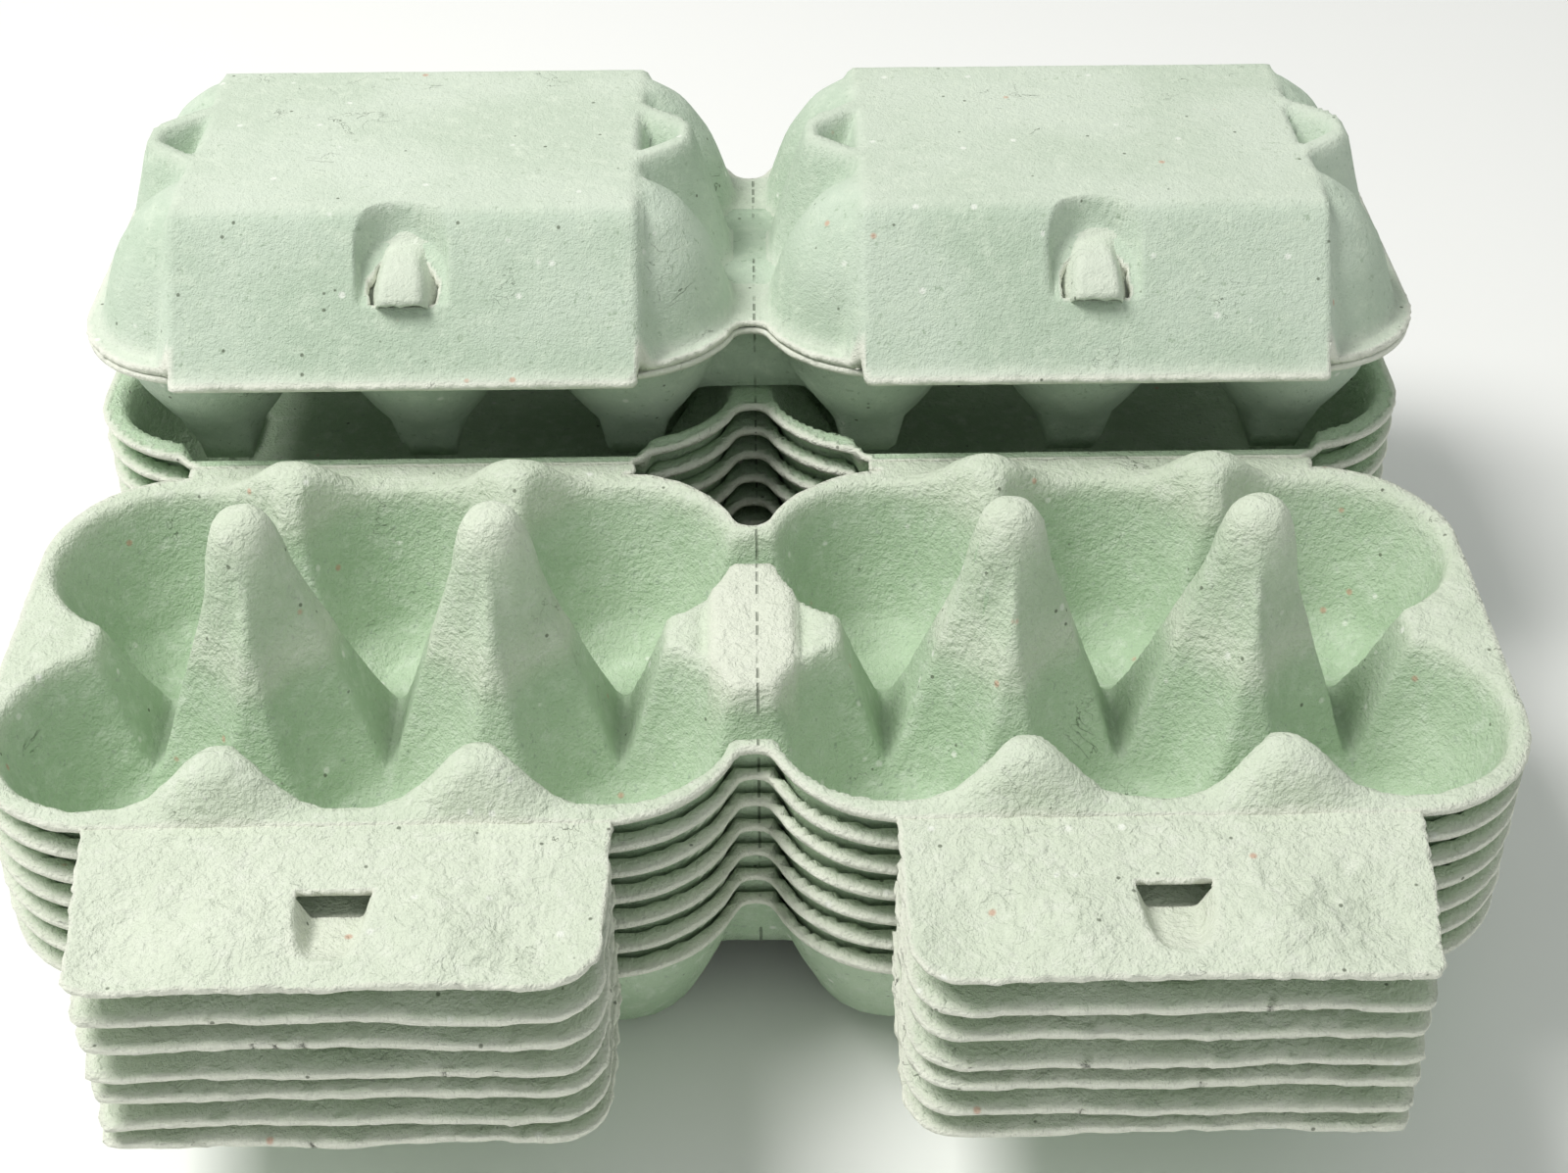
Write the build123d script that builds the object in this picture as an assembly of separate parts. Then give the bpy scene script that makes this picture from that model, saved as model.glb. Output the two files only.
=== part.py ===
"""Stack of moulded-pulp egg cartons: seven open cartons nested in each other,
flaps to the front, trays in the middle and lids folded back, with one closed
carton standing in the uppermost open lids.

Frame: X runs along the carton, Y from the flaps (negative) to the lids
(positive), Z up. The origin is the centre of the bounding box's underside.
Every carton is one moulded sheet: two trays of six cups side by side, joined by
a perforated bridge, each with a locking flap in front and a lid behind.
"""
from build123d import *
from math import asin, atan2, cos, degrees, hypot, radians, sin, sqrt, tan
import os

# Pulp sheet (mm, degrees)
WALL = 1.5                # thickness of the moulded sheet
DRAFT = 16.5              # steepest wall, measured from the vertical
NEST_GAP = 1.4            # free height between two nested sheets on that wall
ROUND_SIDES = 24          # flats around each cup, post and dome

# The stack
OPEN_CARTONS = 7          # open cartons nested in each other
SEAT_GAP = 0.1            # between the closed carton's bridge and the lids it rests on

# Plan of one half of a carton, measured from the half's own centre
HALF_CENTRE_X = 74.0      # centre of each half from the middle of the carton
RIM_INNER = 72.0          # rim edge beside the bridge
RIM_OUTER = 73.5          # rim edge at the carton's end
RIM_HALF_DEPTH = 54.5     # rim edge to front and rear
RIM_CORNER = 27.25        # rim corner radius
BRIDGE_HALF_WIDTH = 8.0   # flat web between the two halves
BRIDGE_HALF_DEPTH = 35.0  # bottom of the V-shaped notches, front and rear

# Cups: inside of each cup
CUP_PITCH = 47.0          # middle cup to end cup
POST_X = 24.0             # post from the middle cup
ROW_Y = 26.0              # each row of cups from the centre line
CUP_RADIUS = 23.6         # at the rim
CUP_DEPTH = 33.0          # rim to cup floor
CUP_FLOOR_RADIUS = 6.0
HEEL_RADIUS = 13.5        # where the floor turns up into the side
HEEL_RISE = 5.0
WAIST_DEPTH = 15.5        # where the side becomes steepest

# Valleys between neighbouring cups, which leave the posts standing
VALLEY_DEPTH = 26.5
VALLEY_FLOOR = 1.0        # half width of the valley's floor
VALLEY_SLOPE = 18.6       # from the vertical
VALLEY_STOP_X = 1.3       # a valley along X stops this far short of a cup's axis
VALLEY_STOP_Y = 1.7       # the same for a valley along Y
BRIDGE_VALLEY_DEPTH = 18.4

# Posts and bumps that stand above the rim
POST_PRESS = 0.6          # how far a post bites into the panel of its closed lid
POST_TIP_RADIUS = 2.5
POST_TIP_SLOPE = 50.0     # from the vertical
POST_RAW_RADIUS = 22.5
POST_ROOT = 12.0          # how far a post is sunk in the sheet before the cups are pressed
BUMP_ROOT = 1.2           # the same for a bump
BUMP_HEIGHT = 9.5
BUMP_BASE_HALF = 15.0
BUMP_TOP_HALF = 4.5
BUMP_FRONT_Y = 53.0       # foot of the bump's outer face
BUMP_TOP_FRONT_Y = 46.5
BUMP_TOP_BACK_Y = 40.0
BUMP_BACK_Y = 34.0

# Front flap
CREASE_Y = 57.0           # fold between tray and flap
FLAP_HALF_WIDTH = 48.3
FLAP_LENGTH = 36.0
FLAP_TAPER_OUTER = 4.5    # narrower at the tip, on the carton's outer side
FLAP_TAPER_INNER = 0.7
FLAP_INNER_CORNER = 10.0
FLAP_OUTER_CORNER = 3.0
FLAP_DROOP = 2.0          # degrees below level when open
FLAP_STAND_OFF = 6.9      # degrees from the lid's front wall when closed
FLAP_SLIT = 0.15          # half the clearance at a flap that turns

# Lock nose, pressed out of the flap, and the slot at its mouth
NOSE_FROM_CREASE = 15.0
NOSE_LENGTH = 15.0
NOSE_DEPTH = 5.5
NOSE_MOUTH_HALF = 7.0
NOSE_LIP_HALF = 4.2
NOSE_TIP_HALF = 3.5
NOSE_TIP_DEPTH = 0.3
SLOT_LENGTH = 1.5

# Hinge between tray and lid
HINGE_Y = 58.5
HINGE_HALF_WIDTH = 48.0

# Lid, seen as closed, its rim at level 0
LID_HEIGHT = 31.0
LID_GAP = 0.4             # between the two rims when closed
PANEL_HALF_LENGTH = 50.0
PANEL_FRONT_Y = 38.0
PANEL_REAR_Y = 35.0
LIP_FRONT_Y = 61.0        # front wall at the rim
LIP_REAR_Y = 57.0         # rear wall at the rim
DOME_RADIUS = 24.0        # egg-shaped corners, at the rim
DOME_TOP_GAP = 0.8        # corner dome below the panel
DOME_STEPS = ((22.3 / 24.0, 0.18), (18.6 / 24.0, 0.54), (12.6 / 24.0, 0.83))
DOME_CROWN_RADIUS = 5.5

# Ears at the panel's short ends, each with a pocket pressed into it
EAR_TIP_X = 61.0
EAR_NECK_HALF = 15.0
EAR_SHOULDER_X = 58.5
EAR_SHOULDER_HALF = 8.0
EAR_TIP_HALF = 4.0
POCKET_BASE_X = 49.2
POCKET_TIP_X = 58.2
POCKET_BASE_HALF = 10.5
POCKET_TIP_HALF = 2.4
POCKET_DEPTH = 8.0
POCKET_FLOOR_SCALE = 0.25

# Lock hole in the lid's front wall, with a shallow arch-shaped recess around it
HOLE_LOW = 16.8           # along the sloping wall, from the rim
HOLE_HIGH = 32.0
HOLE_HALF_WIDTH = 7.6
RECESS_BORDER = 2.2
RECESS_DEPTH = 2.2

TOOL_REACH = 4.0          # how far the pressing tools reach past the sheet

# Worked out from the sizes above
NEST_PITCH = WALL / sin(radians(DRAFT)) + NEST_GAP
DRAFT_RUN = tan(radians(DRAFT))
VALLEY_RUN = tan(radians(VALLEY_SLOPE))
TRAY_HEIGHT = CUP_DEPTH + WALL
POST_HEIGHT = LID_GAP + LID_HEIGHT - WALL + POST_PRESS
TOP_RIM_Z = TRAY_HEIGHT + (OPEN_CARTONS - 1) * NEST_PITCH
CLOSED_RISE = BRIDGE_VALLEY_DEPTH + WALL + SEAT_GAP
LID_CENTRE_Y = 2 * HINGE_Y
FRONT_Y = -(CREASE_Y + FLAP_LENGTH * cos(radians(FLAP_DROOP)))
PANEL_REACH = LID_CENTRE_Y + PANEL_FRONT_Y - HINGE_Y
LID_TILT = degrees(asin(TRAY_HEIGHT / hypot(LID_HEIGHT, PANEL_REACH)) - atan2(LID_HEIGHT, PANEL_REACH))
REAR_Y = HINGE_Y + (LID_CENTRE_Y - HINGE_Y + LIP_FRONT_Y) * cos(radians(LID_TILT))
CENTRE_Y = (FRONT_Y + REAR_Y) / 2
FLAP_CLOSED_LEAN = degrees(atan2(LIP_FRONT_Y - PANEL_FRONT_Y, LID_HEIGHT)) + FLAP_STAND_OFF
TOOL_TOP = POST_HEIGHT + TOOL_REACH
TOOL_BOTTOM = -(TRAY_HEIGHT + TOOL_REACH)


def flat(points):
    """A flat face with straight sides through the given points."""
    return make_face(Polyline(*points, close=True))


def slab(face, low, high):
    """A face in the plan carried from one level to another."""
    return extrude(Pos(0, 0, low) * face, high - low)


def box(x0, x1, y0, y1, z0, z1):
    """A box between two corners."""
    return Pos((x0 + x1) / 2, (y0 + y1) / 2, (z0 + z1) / 2) * Box(x1 - x0, y1 - y0, z1 - z0)


def turned(profile):
    """A many-sided body about Z through a rising line of (radius, level) points."""
    turns = [radians(360 * (i + 0.5) / ROUND_SIDES) for i in range(ROUND_SIDES)]
    rings = [[(r * cos(a), r * sin(a), z) for a in turns] for r, z in profile if r > 0]
    faces = [Face(Wire.make_polygon(rings[0][::-1])), Face(Wire.make_polygon(rings[-1]))]
    for low, high in zip(rings, rings[1:]):
        for i in range(ROUND_SIDES):
            corners = [low[i - 1], low[i], high[i], high[i - 1]]
            faces.append(Face(Wire.make_polygon(corners)))
    return Solid(Shell(faces))


def shifted(profile, distance):
    """A line of (radius, level) points moved sideways by a distance, corners mitred.

    A positive distance moves it to the right of its own direction.
    """
    lines = []
    for (r0, z0), (r1, z1) in zip(profile, profile[1:]):
        length = sqrt((r1 - r0) ** 2 + (z1 - z0) ** 2)
        nr, nz = (z1 - z0) / length, -(r1 - r0) / length
        lines.append((nr, nz, nr * r0 + nz * z0 + distance))
    points = [(profile[0][0] + lines[0][0] * distance, profile[0][1] + lines[0][1] * distance)]
    for (a, b, c), (d, e, f) in zip(lines, lines[1:]):
        det = a * e - b * d
        points.append(((c * e - b * f) / det, (a * f - c * d) / det))
    points.append((profile[-1][0] + lines[-1][0] * distance, profile[-1][1] + lines[-1][1] * distance))
    return points


def both_sides(shape):
    """A shape and its mirror image across the carton's middle, as one."""
    return shape + mirror(shape, Plane.YZ)


def half_plan():
    """Rim outline of the right half, from the middle of the carton, with its web."""
    length = RIM_INNER + RIM_OUTER
    centre = HALF_CENTRE_X + (RIM_OUTER - RIM_INNER) / 2
    rim = Pos(centre, 0) * RectangleRounded(length, 2 * RIM_HALF_DEPTH, RIM_CORNER)
    web = Pos(BRIDGE_HALF_WIDTH / 2, 0) * Rectangle(BRIDGE_HALF_WIDTH, 2 * BRIDGE_HALF_DEPTH)
    return rim + web


def cup_profile():
    """Inside of a cup from its floor's edge up past the top of the posts."""
    waist = CUP_RADIUS - WAIST_DEPTH * DRAFT_RUN
    return [(0, -CUP_DEPTH), (CUP_FLOOR_RADIUS, -CUP_DEPTH),
            (HEEL_RADIUS, HEEL_RISE - CUP_DEPTH), (waist, -WAIST_DEPTH),
            (CUP_RADIUS + TOOL_TOP * DRAFT_RUN, TOOL_TOP)]


def valley(start, end, depth, slope_run, thickness):
    """A V-shaped valley with a narrow floor between two cup centres.

    With a thickness it is the valley's underside.
    """
    side = thickness * sqrt(1 + slope_run ** 2)
    low = -depth - thickness
    half_low = VALLEY_FLOOR + side - thickness * slope_run
    half_high = VALLEY_FLOOR + side + slope_run * (depth + TOOL_TOP)
    section = flat([(-half_low, low), (half_low, low), (half_high, TOOL_TOP), (-half_high, TOOL_TOP)])
    (x0, y0), (x1, y1) = start, end
    run = Vector(x1 - x0, y1 - y0, 0)
    plane = Plane(origin=(x0, y0, 0), x_dir=(-run.Y, run.X, 0), z_dir=run)
    body = extrude(plane * section, run.length)
    if body.bounding_box().max.Z < TOOL_TOP / 2:
        plane = Plane(origin=(x0, y0, 0), x_dir=(run.Y, -run.X, 0), z_dir=run)
        body = extrude(plane * section, run.length)
    return body


def pressed(body, thickness):
    """The right half's body with its valleys and cups pressed down into it.

    With a thickness the tools have the shape of the tray's underside.
    """
    columns = [HALF_CENTRE_X + dx for dx in (-CUP_PITCH, 0, CUP_PITCH)]
    profile = shifted(cup_profile(), thickness) if thickness else cup_profile()
    profile[0] = (0, profile[0][1])
    cup = turned(profile)
    for y in (-ROW_Y, ROW_Y):
        body -= valley((0, y), (columns[0] - VALLEY_STOP_X, y), BRIDGE_VALLEY_DEPTH, DRAFT_RUN, thickness)
        body -= valley((columns[0] + VALLEY_STOP_X, y), (columns[2] - VALLEY_STOP_X, y),
                       VALLEY_DEPTH, VALLEY_RUN, thickness)
    for x in columns:
        body -= valley((x, VALLEY_STOP_Y - ROW_Y), (x, ROW_Y - VALLEY_STOP_Y),
                       VALLEY_DEPTH, VALLEY_RUN, thickness)
    for x in columns:
        for y in (-ROW_Y, ROW_Y):
            body -= Pos(x, y, 0) * cup
    return body


def bump():
    """The mound at the front rim between two cups, on the centre line X = 0."""
    def level(z):
        front = BUMP_FRONT_Y + (BUMP_TOP_FRONT_Y - BUMP_FRONT_Y) * z / BUMP_HEIGHT
        back = BUMP_BACK_Y + (BUMP_TOP_BACK_Y - BUMP_BACK_Y) * z / BUMP_HEIGHT
        half = BUMP_BASE_HALF + (BUMP_TOP_HALF - BUMP_BASE_HALF) * z / BUMP_HEIGHT
        return Pos(0, -(front + back) / 2, z) * Rectangle(2 * half, front - back)

    return loft([level(-BUMP_ROOT), level(BUMP_HEIGHT)], ruled=True)


def raised(body, post_drop, bump_drop):
    """The right half's body with its posts and bumps, before anything is pressed in."""
    cone = (POST_RAW_RADIUS - POST_TIP_RADIUS) / tan(radians(POST_TIP_SLOPE))
    post = turned([(POST_RAW_RADIUS, -POST_ROOT), (POST_RAW_RADIUS, POST_HEIGHT - cone),
                   (POST_TIP_RADIUS, POST_HEIGHT)])
    mound = bump()
    for x in (HALF_CENTRE_X - POST_X, HALF_CENTRE_X + POST_X):
        body += Pos(x, 0, -post_drop) * post
        body += Pos(x, 0, -bump_drop) * mound
        body += Pos(x, 0, -bump_drop) * mirror(mound, Plane.XZ)
    return body


def tray_half():
    """The right half of a tray as a sheet, its rim at level 0."""
    plan = half_plan()
    post_drop = WALL / sin(radians(POST_TIP_SLOPE))
    bump_run = (BUMP_FRONT_Y - BUMP_TOP_FRONT_Y) / BUMP_HEIGHT
    bump_drop = WALL * sqrt(1 + bump_run ** 2) / bump_run
    upper = pressed(raised(slab(plan, TOOL_BOTTOM, 0), 0, 0), 0)
    under = pressed(raised(slab(plan, TOOL_BOTTOM, -WALL), post_drop, bump_drop), WALL)
    return upper - under


def wall_block(inset):
    """The lid's middle block: a sloping-sided block whose ends fall at the draft.

    Its section across the carton is carried along the panel, and on past the
    panel's ends in a slanting direction. With an inset it is the inside.
    """
    front_run = (LIP_FRONT_Y - PANEL_FRONT_Y) / LID_HEIGHT
    rear_run = (LIP_REAR_Y - PANEL_REAR_Y) / LID_HEIGHT
    top = LID_HEIGHT - inset
    low = -2.0 if inset else 0.0
    front_in = inset * sqrt(1 + front_run ** 2)
    rear_in = inset * sqrt(1 + rear_run ** 2)

    def front_at(z):
        return -LIP_FRONT_Y + front_in + front_run * z

    def rear_at(z):
        return LIP_REAR_Y - rear_in - rear_run * z

    section = [(front_at(low), low), (rear_at(low), low), (rear_at(top), top), (front_at(top), top)]
    half = PANEL_HALF_LENGTH - 0.7 * inset
    middle = extrude(Plane.YZ * flat(section), half, both=True)
    reach = LID_HEIGHT * 1.2
    end = extrude(Plane.YZ.offset(half) * flat(section), reach,
                  dir=Vector(DRAFT_RUN, 0, -1))
    ends = end + mirror(end, Plane.YZ)
    block = middle + ends
    return block - box(-90, 90, -90, 90, -90, low)


def dome(inset):
    """An egg-shaped corner of the lid, turned about its cup's centre."""
    crown = LID_HEIGHT - DOME_TOP_GAP
    profile = [(DOME_RADIUS, 0)]
    profile += [(DOME_RADIUS * share, crown * height) for share, height in DOME_STEPS]
    profile += [(DOME_CROWN_RADIUS, crown), (0, crown)]
    if inset:
        profile = shifted(profile, -inset)
        profile[-1] = (0, profile[-1][1])
        foot_r, foot_z = profile[0]
        profile.insert(0, (foot_r + (foot_z + 2.0) * DRAFT_RUN, -2.0))
    return turned(profile)


def tapered(points, top, low, run):
    """A prism from a plan at the top level whose sides spread by run as they fall."""
    def spread(distance):
        out = []
        count = len(points)
        for i, (x, y) in enumerate(points):
            (ax, ay), (bx, by) = points[i - 1], points[(i + 1) % count]
            n0 = Vector(y - ay, ax - x, 0).normalized()
            n1 = Vector(by - y, x - bx, 0).normalized()
            det = n0.X * n1.Y - n0.Y * n1.X
            c0 = n0.X * x + n0.Y * y + distance
            c1 = n1.X * x + n1.Y * y + distance
            out.append(((c0 * n1.Y - n0.Y * c1) / det, (n0.X * c1 - c0 * n1.X) / det))
        return out

    head = Pos(0, 0, top) * flat(points)
    foot = Pos(0, 0, low) * flat(spread(run * (top - low)))
    return loft([foot, head], ruled=True)


def ear(inset):
    """An ear at the panel's right-hand end."""
    edge = inset * (sqrt(1 + DRAFT_RUN ** 2) - DRAFT_RUN)
    neck = PANEL_HALF_LENGTH - 6.0
    plan = [(neck, -EAR_NECK_HALF + edge), (PANEL_HALF_LENGTH, -EAR_NECK_HALF + edge),
            (EAR_SHOULDER_X - edge, -EAR_SHOULDER_HALF + 0.5 * edge),
            (EAR_TIP_X - edge, -EAR_TIP_HALF + 0.3 * edge),
            (EAR_TIP_X - edge, EAR_TIP_HALF - 0.3 * edge),
            (EAR_SHOULDER_X - edge, EAR_SHOULDER_HALF - 0.5 * edge),
            (PANEL_HALF_LENGTH, EAR_NECK_HALF - edge), (neck, EAR_NECK_HALF - edge)]
    return tapered(plan, LID_HEIGHT - inset, -2.0 if inset else 0.0, DRAFT_RUN)


def pocket(border):
    """The pocket pressed down into an ear. With a border it is the pocket's underside."""
    centre = (2 * POCKET_BASE_X + POCKET_TIP_X) / 3
    out = border * sqrt(1 + DRAFT_RUN ** 2)
    plan = [(POCKET_BASE_X - out, -POCKET_BASE_HALF - out),
            (POCKET_TIP_X + out, -POCKET_TIP_HALF - 0.6 * out),
            (POCKET_TIP_X + out, POCKET_TIP_HALF + 0.6 * out),
            (POCKET_BASE_X - out, POCKET_BASE_HALF + out)]
    floor = [(centre + (x - centre) * POCKET_FLOOR_SCALE - (0.4 * out if x < centre else -0.4 * out),
              y * POCKET_FLOOR_SCALE + (0.4 * out if y > 0 else -0.4 * out)) for x, y in plan]
    head = Pos(0, 0, LID_HEIGHT) * flat(plan)
    foot = Pos(0, 0, LID_HEIGHT - POCKET_DEPTH - border) * flat(floor)
    lid_top = slab(flat(plan), LID_HEIGHT, LID_HEIGHT + 1)
    return loft([foot, head], ruled=True) + lid_top


def front_plane():
    """A plane on the lid's front wall: x along the wall, y up its slope."""
    slope = Vector(0, LIP_FRONT_Y - PANEL_FRONT_Y, LID_HEIGHT).normalized()
    return Plane(origin=(0, -LIP_FRONT_Y, 0), x_dir=(1, 0, 0), z_dir=Vector(1, 0, 0).cross(slope))


def arch(half, low, high):
    """An arch-shaped plan: straight sides and a round top."""
    body = Pos(0, (low + high - half) / 2) * Rectangle(2 * half, high - half - low)
    return body + Pos(0, high - half) * Circle(half)


def lid_half():
    """The right half's lid, seen as closed, centred on its own half."""
    outer = wall_block(0)
    inner = wall_block(WALL)
    for sx in (-1, 1):
        for sy in (-1, 1):
            outer += Pos(sx * CUP_PITCH, sy * ROW_Y, 0) * dome(0)
            inner += Pos(sx * CUP_PITCH, sy * ROW_Y, 0) * dome(WALL)
    outer += [ear(0), mirror(ear(0), Plane.YZ)]
    inner += [ear(WALL), mirror(ear(WALL), Plane.YZ)]
    outer -= [pocket(0), mirror(pocket(0), Plane.YZ)]
    inner -= [pocket(WALL), mirror(pocket(WALL), Plane.YZ)]
    plane = front_plane()
    recess = arch(HOLE_HALF_WIDTH + RECESS_BORDER, HOLE_LOW, HOLE_HIGH + 2 * RECESS_BORDER)
    backing = arch(HOLE_HALF_WIDTH + RECESS_BORDER + WALL, HOLE_LOW - WALL,
                   HOLE_HIGH + 2 * RECESS_BORDER + WALL)
    outer -= extrude(plane * recess, RECESS_DEPTH, both=True)
    inner -= extrude(plane * backing, RECESS_DEPTH + WALL, both=True)
    hole = extrude(plane * arch(HOLE_HALF_WIDTH, HOLE_LOW, HOLE_HIGH),
                   RECESS_DEPTH + 3 * WALL, both=True)
    return outer, inner, hole


def lids():
    """Both lids with the rim and web that join them, seen as closed."""
    outer, inner, hole = (Pos(HALF_CENTRE_X, 0, 0) * s for s in lid_half())
    half = slab(half_plan(), 0, WALL) + outer - inner - hole
    return both_sides(half)


def flap():
    """One flap, lying flat towards the front from its crease at Y = 0."""
    x = FLAP_HALF_WIDTH
    plate = flat([(-x, 0), (x, 0), (x - FLAP_TAPER_OUTER, -FLAP_LENGTH),
                  (FLAP_TAPER_INNER - x, -FLAP_LENGTH)])
    plate = fillet(min(plate.vertices(), key=lambda v: v.Y + v.X), FLAP_INNER_CORNER)
    plate = fillet(min(plate.vertices(), key=lambda v: v.Y - v.X), FLAP_OUTER_CORNER)

    def wedge(out, deep):
        mouth = Plane(origin=(0, -NOSE_FROM_CREASE, 0), x_dir=(1, 0, 0), z_dir=(0, -1, 0))
        end = mouth.offset(NOSE_LENGTH + out)
        near = flat([(-NOSE_MOUTH_HALF - out, 0.5), (NOSE_MOUTH_HALF + out, 0.5),
                     (NOSE_LIP_HALF + 0.8 * out, -NOSE_DEPTH - deep),
                     (-NOSE_LIP_HALF - 0.8 * out, -NOSE_DEPTH - deep)])
        far = flat([(-NOSE_TIP_HALF - out, 0.5), (NOSE_TIP_HALF + out, 0.5),
                    (NOSE_TIP_HALF + 0.8 * out, -NOSE_TIP_DEPTH - deep),
                    (-NOSE_TIP_HALF - 0.8 * out, -NOSE_TIP_DEPTH - deep)])
        return loft([mouth * near, end * far], ruled=True)

    slot = box(-NOSE_MOUTH_HALF, NOSE_MOUTH_HALF, -NOSE_FROM_CREASE - 0.1,
               -NOSE_FROM_CREASE + SLOT_LENGTH, -WALL - 1, 1)
    hood = wedge(WALL, WALL) - box(-x, x, -FLAP_LENGTH, 0, 0, 9)
    body = slab(plate, -WALL, 0) + hood - wedge(0, 0) - slot
    return body


def placed_flap(angle, gap):
    """The right half's flap turned up about its crease by an angle from level."""
    body = flap() - box(-90, 90, -gap, 1, -9, 9) if gap else flap()
    return Pos(HALF_CENTRE_X, -CREASE_Y, 0) * Rot(-angle, 0, 0) * body


def front_strip(gap):
    """The flat strip between the rim and the flap's crease."""
    return box(HALF_CENTRE_X - FLAP_HALF_WIDTH, HALF_CENTRE_X + FLAP_HALF_WIDTH,
               -CREASE_Y + gap, -RIM_HALF_DEPTH + 1.0, -WALL, 0)


def hinge_web(y0, y1, z0, z1):
    """Part of the hinge behind the right half's tray."""
    return box(HALF_CENTRE_X - HINGE_HALF_WIDTH, HALF_CENTRE_X + HINGE_HALF_WIDTH, y0, y1, z0, z1)


def sagged(shape):
    """A shape tipped down about the hinge until the lid's panel reaches the floor."""
    return Pos(0, HINGE_Y, 0) * Rot(-LID_TILT, 0, 0) * Pos(0, -HINGE_Y, 0) * shape


def open_carton(tray, lid, with_flaps):
    """A carton lying open, its rim at level 0."""
    web = hinge_web(RIM_HALF_DEPTH - 1.0, HINGE_Y, -WALL, 0)
    web += sagged(hinge_web(HINGE_Y - 0.5, LID_CENTRE_Y - LIP_REAR_Y + 1.5 * WALL, -WALL, 0))
    extra = front_strip(0 if with_flaps else FLAP_SLIT) + web
    if with_flaps:
        extra += placed_flap(-FLAP_DROOP, 0)
    opened = sagged(Pos(0, LID_CENTRE_Y, 0) * Rot(180, 0, 0) * lid)
    return tray + opened + both_sides(extra)


def closed_carton(tray, lid):
    """A carton closed and locked, its rim at level 0."""
    edge = CREASE_Y + WALL
    extra = front_strip(0) + placed_flap(90 + FLAP_CLOSED_LEAN, 0)
    extra += box(HALF_CENTRE_X - FLAP_HALF_WIDTH, HALF_CENTRE_X + FLAP_HALF_WIDTH,
                 -edge + 0.3, -CREASE_Y + 1.0, -WALL, 0.8)
    lid_foot = LID_GAP + WALL
    extra += hinge_web(RIM_HALF_DEPTH - 1.0, HINGE_Y + WALL / 2, -WALL, 0)
    extra += hinge_web(HINGE_Y - WALL / 2, HINGE_Y + WALL / 2, -WALL, lid_foot)
    extra += hinge_web(LIP_REAR_Y - 1.5 * WALL, HINGE_Y + WALL / 2, LID_GAP, lid_foot)
    return tray + Pos(0, 0, LID_GAP) * lid + both_sides(extra)


def as_solid(shape):
    """The single solid of a shape."""
    found = shape.solids()
    return found[0] if len(found) == 1 else Compound(children=found)


def main():
    tray = both_sides(tray_half())
    lid = lids()
    to_frame = Pos(0, -CENTRE_Y, 0)
    lower = open_carton(tray, lid, True)
    upper = open_carton(tray, lid, False)
    nodes = {}
    for k in range(OPEN_CARTONS):
        body = upper if k == OPEN_CARTONS - 1 else lower
        nodes[f"open_carton_{k + 1}"] = Pos(0, 0, TRAY_HEIGHT + k * NEST_PITCH) * body
    turning = Pos(0, 0, TOP_RIM_Z) * placed_flap(-FLAP_DROOP, FLAP_SLIT)
    nodes["front_flap_right"] = turning
    nodes["front_flap_left"] = mirror(turning, Plane.YZ)
    standing = Pos(0, LID_CENTRE_Y, CLOSED_RISE) * closed_carton(tray, lid)
    nodes["closed_carton"] = Pos(0, 0, TOP_RIM_Z) * sagged(standing)
    os.makedirs("parts", exist_ok=True)
    for name, shape in nodes.items():
        export_step(as_solid(to_frame * shape), f"parts/{name}.step", write_pcurves=False)
    print("nest pitch", round(NEST_PITCH, 3), "top rim", round(TOP_RIM_Z, 2),
          "lid tilt", round(LID_TILT, 3), "centre shift", round(-CENTRE_Y, 3))


main()
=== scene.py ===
"""Looks of the stack of moulded-pulp egg cartons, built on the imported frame.

Every carton is a sheet drawn as a height field in the carton's own plan. Lengths in the plan
are in millimetres from the middle of the carton's tray, its rim at level 0; they are turned into
metres in the row frame when a mesh is made. The plan's sizes repeat those of the CAD part.
"""
import math

import bpy
import numpy as np
from mathutils import Matrix, Vector


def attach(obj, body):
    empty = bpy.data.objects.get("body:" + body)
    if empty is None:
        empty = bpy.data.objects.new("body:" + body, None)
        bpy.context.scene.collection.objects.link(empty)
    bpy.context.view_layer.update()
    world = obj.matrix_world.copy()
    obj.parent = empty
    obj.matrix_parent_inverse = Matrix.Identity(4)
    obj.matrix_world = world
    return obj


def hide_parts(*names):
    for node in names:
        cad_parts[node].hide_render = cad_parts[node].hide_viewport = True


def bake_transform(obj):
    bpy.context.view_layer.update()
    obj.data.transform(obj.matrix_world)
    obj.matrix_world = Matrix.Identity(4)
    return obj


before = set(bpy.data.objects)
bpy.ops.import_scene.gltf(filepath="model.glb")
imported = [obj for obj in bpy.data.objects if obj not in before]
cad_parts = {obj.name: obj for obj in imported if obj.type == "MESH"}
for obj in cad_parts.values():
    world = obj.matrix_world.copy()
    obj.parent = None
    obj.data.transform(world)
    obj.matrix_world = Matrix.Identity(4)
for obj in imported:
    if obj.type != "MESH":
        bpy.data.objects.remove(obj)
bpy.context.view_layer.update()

# Sizes of the carton, as in the CAD part (mm, degrees)
WALL = 1.5
DRAFT_RUN = math.tan(math.radians(16.5))
NEST_PITCH = WALL / math.sin(math.radians(16.5)) + 1.4
OPEN_CARTONS = 7
HALF_X = 74.0
RIM_INNER, RIM_OUTER, RIM_Y, RIM_CORNER = 72.0, 73.5, 54.5, 27.25
WEB_X, WEB_Y = 8.0, 35.0
CUP_PITCH, POST_X, ROW_Y = 47.0, 24.0, 26.0
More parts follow.
